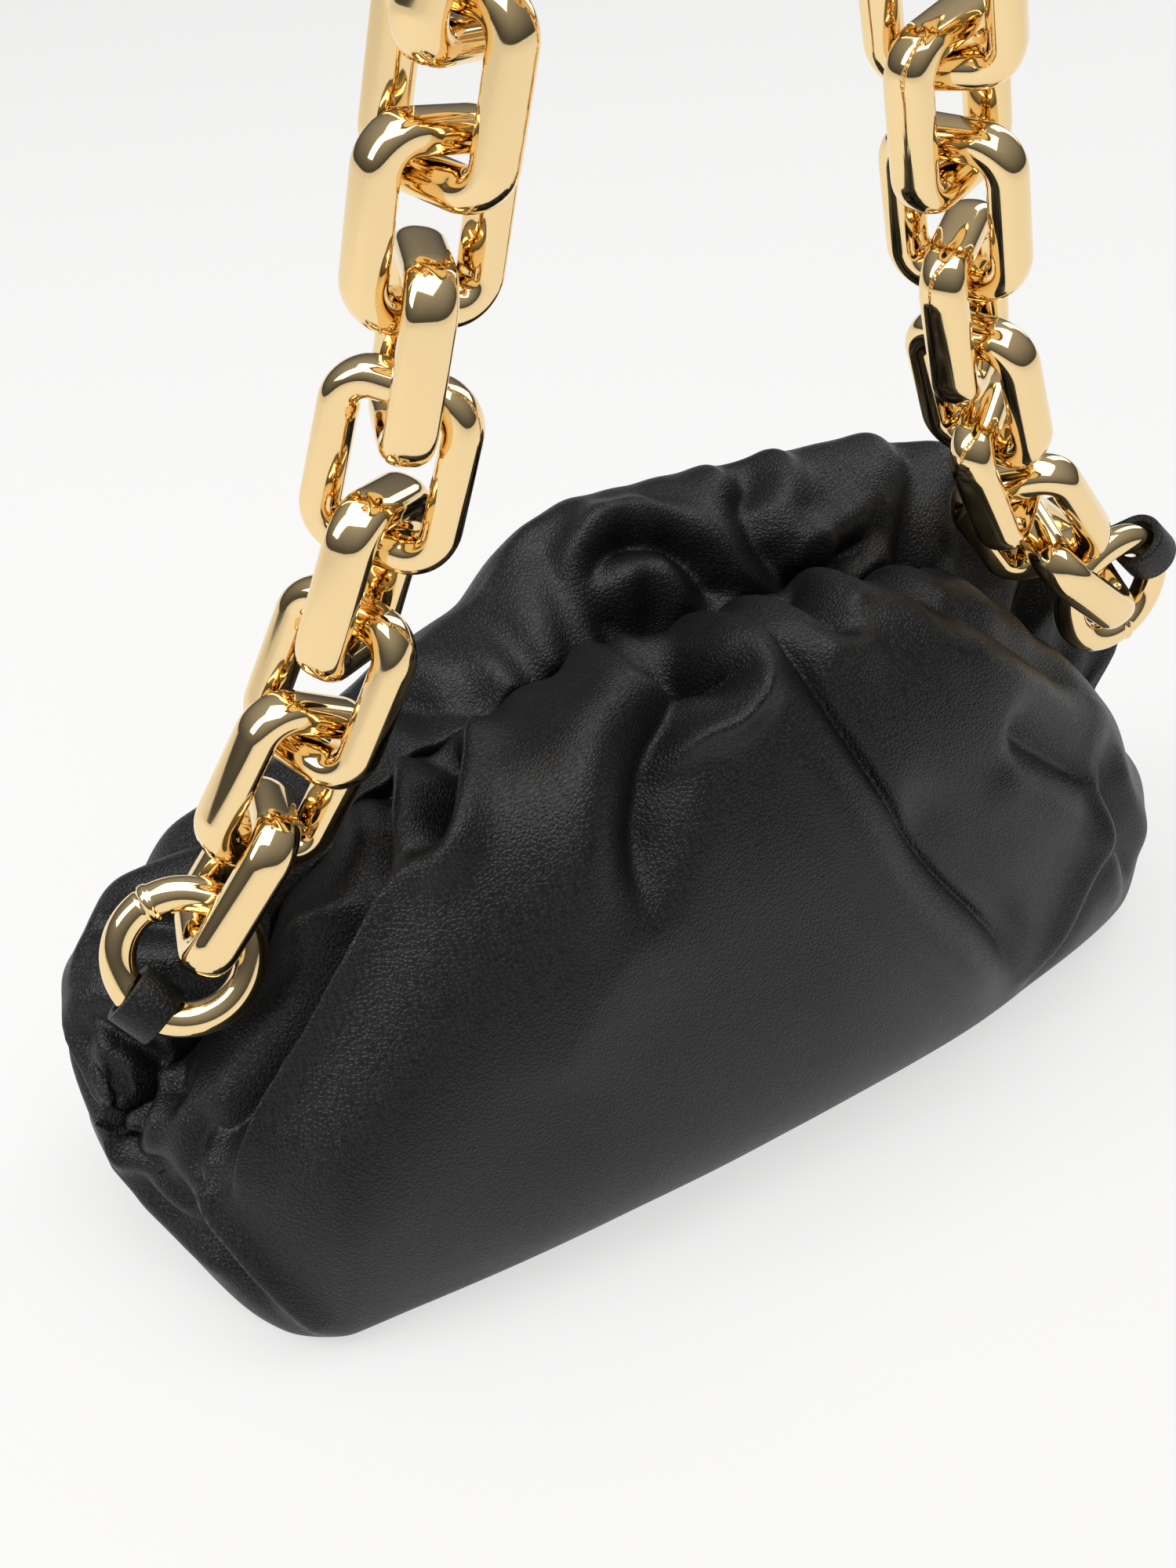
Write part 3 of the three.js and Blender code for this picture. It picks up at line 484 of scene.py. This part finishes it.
def folded(grid, side):
    """A skin with its folds, gathers and softness, and its right end drawn in."""
    normals = normals_of(grid, side)
    lift = np.zeros(grid.shape[:2])
    lean = np.zeros_like(grid)
    for fold in (FRONT_FOLDS if side < 0 else REAR_FOLDS):
        fold_lift, fold_lean = fold_moves(grid, normals, fold)
        lift += fold_lift
        lean += fold_lean
    up = np.linspace(0, 1, grid.shape[1])[None, :]
    x, y, z = grid[:, :, 0], grid[:, :, 1], grid[:, :, 2]
    lift += gathers(x, up, side)
    lift += softness(x, y, z, side)
    lift *= smooth_step(np.clip(z / FOOT_HEIGHT, 0, 1))
    out = grid + (normals * lift[:, :, None] + lean) * MM
    out[:, :, 1] = side * np.maximum(side * out[:, :, 1], SKIN_GAP)
    out[:, :, 2] = np.maximum(out[:, :, 2], 0)
    pull = np.clip((out[:, :, 0] - NOTCH_START) / (HALF_LENGTH - NOTCH_START), 0, 1) ** 2
    out[:, :, 0] -= NOTCH_DEPTH * pull * np.exp(-((out[:, :, 2] - NOTCH_HEIGHT) / NOTCH_SPREAD) ** 2)
    for _ in range(SMOOTHING_ROUNDS):
        soft = out.copy()
        soft[1:-1, 1:-1] = (out[:-2, 1:-1] + out[2:, 1:-1] + out[1:-1, :-2] + out[1:-1, 2:]) / 4
        out = (1 - SMOOTHING_SHARE) * out + SMOOTHING_SHARE * soft
    return out


def joined_at_ends(front, rear):
    """Both skins, bent over their last stations so that they meet in one line at each end."""
    fade = np.clip(1 - np.arange(STATIONS) / END_STATIONS, 0, 1)[:, None, None] ** 2
    for end, weight in ((0, fade), (-1, fade[::-1])):
        line = (front[end] + rear[end]) / 2
        line[:, 1] = 0
        for grid in (front, rear):
            grid += weight * (line - grid[end])
    return front, rear


def with_lip(grid, side):
    """A skin with the leather that turns down into the mouth."""
    lip = np.zeros((grid.shape[0], LIP_POINTS, 3))
    edge = grid[:, -1]
    drop = np.minimum(LIP_DEPTH, LIP_LIMIT * edge[:, 2])
    for k in range(LIP_POINTS):
        t = (k + 1) / LIP_POINTS
        lip[:, k] = np.stack([edge[:, 0], np.full_like(drop, side * LIP_GAP), edge[:, 2] - drop * t], axis=1)
    return np.concatenate([grid, lip], axis=1)


def lining_grid(base, side):
    """Points of the cloth inside a skin, coarser than the leather and short of its ends."""
    up = np.linspace(0, 1, SECTION_POINTS)[None, :, None]
    inset = np.interp(up, LINING_SHARES, LINING_INSETS) * MM
    rows = slice(LINING_END_STATIONS, -LINING_END_STATIONS, LINING_STEP)
    inner = (base - inset * normals_of(base, side))[rows, ::LINING_STEP]
    inner[:, :, 1] = side * np.maximum(side * inner[:, :, 1], LINING_SPLIT)
    inner[:, :, 2] = np.maximum(inner[:, :, 2], LINING_FLOOR)
    inner[:, 0, 1] = 0
    return inner


def mesh_from_grid(name, grid, flip):
    """A quad mesh over a grid of points."""
    rows, columns = grid.shape[:2]
    index = np.arange(rows * columns).reshape(rows, columns)
    corners = [index[:-1, :-1], index[1:, :-1], index[1:, 1:], index[:-1, 1:]]
    quads = np.stack(corners, axis=-1).reshape(-1, 4)
    if flip:
        quads = quads[:, ::-1]
    mesh = bpy.data.meshes.new(name)
    mesh.from_pydata(grid.reshape(-1, 3).tolist(), [], quads.tolist())
    mesh.polygons.foreach_set("use_smooth", [True] * len(mesh.polygons))
    mesh.update()
    return mesh


def add_object(name, mesh, material):
    """A new object in the scene, with one material."""
    piece = bpy.data.objects.new(name, mesh)
    bpy.context.scene.collection.objects.link(piece)
    piece.data.materials.clear()
    piece.data.materials.append(material)
    return piece


class Nodes:
    """Short helper for building one material's node tree."""

    def __init__(self, name):
        self.material = bpy.data.materials.new(name)
        self.material.use_nodes = True
        self.tree = self.material.node_tree
        self.shader = self.tree.nodes["Principled BSDF"]

    def add(self, kind, **settings):
        """A new node. A setting names one of its sockets, with _ for each space, or else a property."""
        node = self.tree.nodes.new(kind)
        for key, value in settings.items():
            socket = key.replace("_", " ")
            if socket in node.inputs:
                node.inputs[socket].default_value = value
            else:
                setattr(node, key, value)
        return node

    def link(self, out, into):
        self.tree.links.new(out, into)

    def set(self, **values):
        """Values on the shader's own sockets, with _ for each space."""
        for key, value in values.items():
            self.shader.inputs[key.replace("_", " ")].default_value = value

    def vary_roughness(self, pattern, limits):
        """Roughness that follows a pattern from the lower to the upper limit."""
        low, high = limits
        rough = self.add("ShaderNodeMapRange", To_Min=low, To_Max=high)
        self.link(pattern, rough.inputs["Value"])
        self.link(rough.outputs["Result"], self.shader.inputs["Roughness"])

    def vary_color(self, pattern, low, high):
        """Base colour that follows a pattern from one colour to another."""
        tint = self.add("ShaderNodeMixRGB", Color1=low, Color2=high)
        self.link(pattern, tint.inputs["Fac"])
        self.link(tint.outputs["Color"], self.shader.inputs["Base Color"])


def leather_material():
    """Soft black leather with a fine pebbled grain."""
    made = Nodes("grained_leather")
    made.set(Specular_IOR_Level=LEATHER_SPECULAR)
    place = made.add("ShaderNodeTexCoord").outputs["Object"]
    warp = made.add("ShaderNodeTexNoise", Scale=WARP_SCALE, Detail=WARP_DETAIL)
    made.link(place, warp.inputs["Vector"])
    warped = made.add("ShaderNodeVectorMath", operation="MULTIPLY_ADD")
    made.link(warp.outputs["Color"], warped.inputs[0])
    warped.inputs[1].default_value = WARP_REACH
    made.link(place, warped.inputs[2])
    grain = made.add("ShaderNodeTexVoronoi", Scale=PEBBLE_SCALE, feature="DISTANCE_TO_EDGE")
    made.link(warped.outputs["Vector"], grain.inputs["Vector"])
    pebble = made.add("ShaderNodeMapRange", interpolation_type="SMOOTHSTEP", From_Max=PEBBLE_EDGE)
    made.link(grain.outputs["Distance"], pebble.inputs["Value"])
    mottle = made.add("ShaderNodeTexNoise", Scale=MOTTLE_SCALE, Detail=MOTTLE_DETAIL,
                      Roughness=MOTTLE_ROUGHNESS)
    made.link(place, mottle.inputs["Vector"])
    made.vary_roughness(mottle.outputs["Fac"], LEATHER_ROUGHNESS)
    made.vary_color(pebble.outputs["Result"], GROOVE_COLOR, PEBBLE_COLOR)
    fine = made.add("ShaderNodeBump", Strength=PEBBLE_STRENGTH, Distance=PEBBLE_BUMP)
    made.link(pebble.outputs["Result"], fine.inputs["Height"])
    coarse = made.add("ShaderNodeBump", Strength=MOTTLE_STRENGTH, Distance=MOTTLE_BUMP)
    made.link(mottle.outputs["Fac"], coarse.inputs["Height"])
    made.link(fine.outputs["Normal"], coarse.inputs["Normal"])
    made.link(coarse.outputs["Normal"], made.shader.inputs["Normal"])
    return made.material


def gold_material():
    """Mirror-polished pale gold."""
    made = Nodes("polished_gold")
    made.set(Base_Color=GOLD_COLOR, Metallic=1.0)
    place = made.add("ShaderNodeTexCoord").outputs["Object"]
    smear = made.add("ShaderNodeTexNoise", Scale=SMEAR_SCALE, Detail=SMEAR_DETAIL)
    made.link(place, smear.inputs["Vector"])
    made.vary_roughness(smear.outputs["Fac"], GOLD_ROUGHNESS)
    return made.material


def inner_material(name, finish):
    """Material of an inner piece, with a fine weave or brushed variation."""
    color, metallic, roughness, scale = finish
    made = Nodes(name)
    made.set(Base_Color=(*color, 1), Metallic=metallic, Roughness=roughness)
    place = made.add("ShaderNodeTexCoord").outputs["Object"]
    noise = made.add("ShaderNodeTexNoise", Scale=scale, Detail=WEAVE_DETAIL)
    made.link(place, noise.inputs["Vector"])
    dark, light = [(*[shade * c for c in color], 1) for shade in SHADE_RANGE]
    made.vary_color(noise.outputs["Fac"], dark, light)
    bump = made.add("ShaderNodeBump", Strength=WEAVE_STRENGTH, Distance=WEAVE_BUMP)
    made.link(noise.outputs["Fac"], bump.inputs["Height"])
    made.link(bump.outputs["Normal"], made.shader.inputs["Normal"])
    return made.material


def loop_mesh(name, centres, outwards, across, half_width, half_thickness, power, sides):
    """A closed bar swept round a loop, with a round cross-section that grows squarer with its power."""
    angle = np.linspace(0, 2 * math.pi, sides, endpoint=False)
    wide = np.sign(np.cos(angle)) * np.abs(np.cos(angle)) ** (2 / power)
    thick = np.sign(np.sin(angle)) * np.abs(np.sin(angle)) ** (2 / power)
    centres, outwards = np.array(centres), np.array(outwards)
    width = np.broadcast_to(np.array(half_width, float).reshape(-1, 1, 1), (len(centres), 1, 1))
    height = np.broadcast_to(np.array(half_thickness, float).reshape(-1, 1, 1), (len(centres), 1, 1))
    points = (centres[:, None, :] + outwards[:, None, :] * width * wide[None, :, None]
              + np.array(across)[None, None, :] * height * thick[None, :, None])
    closed = np.concatenate([points, points[:1]], axis=0)
    closed = np.concatenate([closed, closed[:, :1]], axis=1)
    mesh = mesh_from_grid(name, closed, False)
    shape = bmesh.new()
    shape.from_mesh(mesh)
    bmesh.ops.remove_doubles(shape, verts=shape.verts, dist=LOOP_WELD)
    bmesh.ops.recalc_face_normals(shape, faces=shape.faces)
    for face in shape.faces:
        face.smooth = True
    shape.to_mesh(mesh)
    shape.free()
    return mesh


def link_mesh():
    """One chain link, lying flat round the origin with its length along X."""
    half_length = (LINK_HOLE_LENGTH + LINK_BAR) / 2
    half_width = (LINK_HOLE_WIDTH + LINK_BAR) / 2
    centres, outwards = [], []
    for corner in range(4):
        middle = np.array([(1 if corner in (0, 3) else -1) * (half_length - LINK_CORNER),
                           (1 if corner < 2 else -1) * (half_width - LINK_CORNER), 0])
        for i in range(LINK_CORNER_STEPS + 1):
            angle = (corner + i / LINK_CORNER_STEPS) * math.pi / 2
            outward = np.array([math.cos(angle), math.sin(angle), 0])
            centres.append(middle + LINK_CORNER * outward)
            outwards.append(outward)
    return loop_mesh("chain_link", centres, outwards, (0, 0, 1), LINK_BAR / 2, LINK_THICKNESS / 2,
                     LINK_SECTION_POWER, LINK_SECTION_SIDES)


def node_points(node):
    """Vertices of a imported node."""
    return np.array([v.co for v in frame["nodes"][node].data.vertices])


def principal_axes(node):
    """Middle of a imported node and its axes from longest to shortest, as a matrix."""
    points = node_points(node)
    low, high = points.min(0), points.max(0)
    _, vectors = np.linalg.eigh(np.cov((points - points.mean(0)).T))
    length, width = vectors[:, 2], vectors[:, 1]
    axes = np.stack([length, width, np.cross(length, width)], axis=1)
    return Matrix.Translation(Vector((low + high) / 2)) @ Matrix(axes.tolist()).to_4x4()


def ring_mesh(joint):
    """A ring round its joint's axis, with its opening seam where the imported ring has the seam's lip."""
    node = joint["child"]
    axis = Vector(joint["axis"]).normalized()
    first = axis.orthogonal().normalized()
    normal, out, side_way = np.array(axis), np.array(first), np.array(axis.cross(first))
    centre = np.array(Vector(joint["pos_m"]))
    points = node_points(node) - centre
    axial = points @ normal
    radial = np.linalg.norm(points - axial[:, None] * normal, axis=1)
    lip = points[np.hypot(radial - RING_RADIUS, axial) > RING_TUBE / 2 + SEAM_HEIGHT / 2].mean(axis=0)
    seam = math.atan2(lip @ side_way, lip @ out)
    angles = np.linspace(0, 2 * math.pi, RING_STEPS, endpoint=False)
    away = ((angles - seam + math.pi) % (2 * math.pi) - math.pi) * RING_RADIUS
    raised = SEAM_HEIGHT * np.exp(-(away / (SEAM_WIDTH / 2)) ** SEAM_SQUARENESS)
    groove = SEAM_GROOVE * np.exp(-((away - SEAM_WIDTH * GROOVE_PLACE) / (GROOVE_WIDTH * SEAM_WIDTH)) ** 2)
    half = RING_TUBE / 2 + raised - groove
    outwards = np.cos(angles)[:, None] * out + np.sin(angles)[:, None] * side_way
    centres = centre + RING_RADIUS * outwards
    return loop_mesh(node + "_polished", centres, outwards, normal, half, half,
                     RING_SECTION_POWER, RING_SIDES)


def tab_mesh(node):
    """A packed tab with its sharp edges rounded."""
    shape = bmesh.new()
    shape.from_mesh(frame["nodes"][node].data)
    bmesh.ops.remove_doubles(shape, verts=shape.verts, dist=TAB_WELD)
    bmesh.ops.dissolve_limit(shape, angle_limit=TAB_FLAT_ANGLE, verts=shape.verts, edges=shape.edges)
    sharp = [e for e in shape.edges if e.is_manifold and e.calc_face_angle() > TAB_SHARP_ANGLE]
    bmesh.ops.bevel(shape, geom=sharp, offset=TAB_EDGE, segments=TAB_EDGE_STEPS, profile=TAB_EDGE_PROFILE,
                    affect="EDGES")
    bmesh.ops.triangulate(shape, faces=shape.faces)
    for face in shape.faces:
        face.smooth = True
    mesh = bpy.data.meshes.new(node + "_strip")
    shape.to_mesh(mesh)
    shape.free()
    return mesh


def add_floor():
    """A pale floor: most of what is seen of it is one even colour, and the rest takes light and shadow."""
    corners = [(-FLOOR_REACH, -FLOOR_REACH, 0), (FLOOR_REACH, -FLOOR_REACH, 0),
               (FLOOR_REACH, FLOOR_REACH, 0), (-FLOOR_REACH, FLOOR_REACH, 0)]
    mesh = bpy.data.meshes.new("floor")
    mesh.from_pydata(corners, [], [(0, 1, 2, 3)])
    made = Nodes("pale_floor")
    made.set(Base_Color=FLOOR_COLOR, Roughness=FLOOR_ROUGHNESS)
    rays = made.add("ShaderNodeLightPath")
    seen = made.add("ShaderNodeMath", operation="MAXIMUM")
    made.link(rays.outputs["Is Camera Ray"], seen.inputs[0])
    made.link(rays.outputs["Is Glossy Ray"], seen.inputs[1])
    through = made.add("ShaderNodeMath", operation="MAXIMUM")
    made.link(seen.outputs["Value"], through.inputs[0])
    made.link(rays.outputs["Is Transmission Ray"], through.inputs[1])
    share = made.add("ShaderNodeMath", operation="MULTIPLY")
    share.inputs[1].default_value = FLOOR_EVEN_SHARE
    made.link(through.outputs["Value"], share.inputs[0])
    even = made.add("ShaderNodeEmission", Color=FLOOR_EVEN_COLOR)
    mixed = made.add("ShaderNodeMixShader")
    made.link(share.outputs["Value"], mixed.inputs["Fac"])
    made.link(made.shader.outputs["BSDF"], mixed.inputs[1])
    made.link(even.outputs["Emission"], mixed.inputs[2])
    made.link(mixed.outputs["Shader"], made.tree.nodes["Material Output"].inputs["Surface"])
    floor = add_object("floor", mesh, made.material)


def add_world():
    """A dim studio: grey overhead, dark down at the horizon."""
    world = bpy.data.worlds.new("studio")
    bpy.context.scene.world = world
    world.use_nodes = True
    tree = world.node_tree
    place = tree.nodes.new("ShaderNodeTexCoord")
    height = tree.nodes.new("ShaderNodeSeparateXYZ")
    ramp = tree.nodes.new("ShaderNodeValToRGB")
    horizon, overhead = ramp.color_ramp.elements
    horizon.position = 0.0
    horizon.color = WORLD_HORIZON
    overhead.position = WORLD_OVERHEAD_START
    overhead.color = WORLD_OVERHEAD
    tree.links.new(place.outputs["Generated"], height.inputs["Vector"])
    tree.links.new(height.outputs["Z"], ramp.inputs["Fac"])
    tree.links.new(ramp.outputs["Color"], tree.nodes["Background"].inputs["Color"])


def add_softbox(name, place, target, size, power):
    """A rectangular lamp that faces its target."""
    light = bpy.data.lights.new(name, "AREA")
    light.shape = "RECTANGLE"
    light.size, light.size_y = size
    light.energy = power
    lamp = bpy.data.objects.new(name, light)
    bpy.context.scene.collection.objects.link(lamp)
    lamp.location = place
    lamp.rotation_euler = (Vector(target) - Vector(place)).to_track_quat("-Z", "Y").to_euler()


def add_camera():
    """The camera, level from side to side."""
    lens = bpy.data.cameras.new("photo_view")
    lens.sensor_fit = "VERTICAL"
    lens.sensor_height = SENSOR_HEIGHT
    lens.lens = CAMERA_LENS
    lens.clip_start = NEAR_CLIP
    camera = bpy.data.objects.new("photo_view", lens)
    bpy.context.scene.collection.objects.link(camera)
    a, e = math.radians(CAMERA_AZIMUTH), math.radians(CAMERA_ELEVATION)
    right = Vector((math.cos(a), math.sin(a), 0))
    back = Vector((math.sin(a) * math.cos(e), -math.cos(a) * math.cos(e), math.sin(e)))
    up = back.cross(right)
    turn = Matrix((right, up, back)).transposed().to_4x4()
    camera.matrix_world = Matrix.Translation(CAMERA_PLACE) @ turn
    bpy.context.scene.camera = camera


gold = gold_material()
leather = leather_material()

# Chain
shared_link = link_mesh()
for node in sorted(frame["nodes"]):
    if node.startswith("chain_link"):
        link = add_object(node + "_polished", shared_link, gold)
        link.matrix_world = principal_axes(node)
        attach(link, body_of[node])
        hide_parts(node)

# Rings
for joint in frame["joints"]:
    if joint["name"].endswith("ring_turn"):
        node = joint["child"]
        ring = add_object(node + "_polished", ring_mesh(joint), gold)
        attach(ring, node)
        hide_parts(node)

# Leather, and the cloth lining inside it
cloth = inner_material("lining_cloth", CLOTH_FINISH)
bases = [skin_grid(side) for side in SIDES.values()]
skins = joined_at_ends(*[folded(base, side) for base, side in zip(bases, SIDES.values())])
for (name, side), base, outer in zip(SIDES.items(), bases, skins):
    grid = with_lip(outer, side)
    skin = add_object(f"{name}_leather", mesh_from_grid(f"{name}_leather", grid, side > 0), leather)
    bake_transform(skin)
    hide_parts(f"{name}_mouth_puff", "leather_body")
    inner = lining_grid(base, side)
    lining = add_object(f"{name}_lining", mesh_from_grid(f"{name}_lining", inner, side > 0), cloth)
    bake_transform(lining)
    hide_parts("lining")

# Base: the leather under the bag, between the feet of both skins
front_foot, rear_foot = [outer[:, :1] for outer in skins]
across = np.linspace(0, 1, BASE_POINTS)[None, :, None]
under = (1 - across) * front_foot + across * rear_foot
base_skin = add_object("base_leather", mesh_from_grid("base_leather", under, False), leather)
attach(base_skin, "root")
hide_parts("leather_body")

# Tabs
for node in ("left_tab", "right_tab"):
    strip = add_object(node + "_strip", tab_mesh(node), leather)
    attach(strip, body_of[node])
    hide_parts(node)

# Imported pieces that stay: frames, pins and magnets of steel, and the base board
steel = inner_material("spring_steel", STEEL_FINISH)
fibre = inner_material("fibre_board", FIBRE_FINISH)
for node, piece in frame["nodes"].items():
    piece.data.materials.clear()
    piece.data.materials.append(fibre if node == "base_board" else steel)

# Studio
add_floor()
add_world()
for name, (place, target, size, power) in SOFTBOXES.items():
    add_softbox(name, place, target, size, power)
add_camera()
bpy.context.scene.view_settings.view_transform = "Standard"
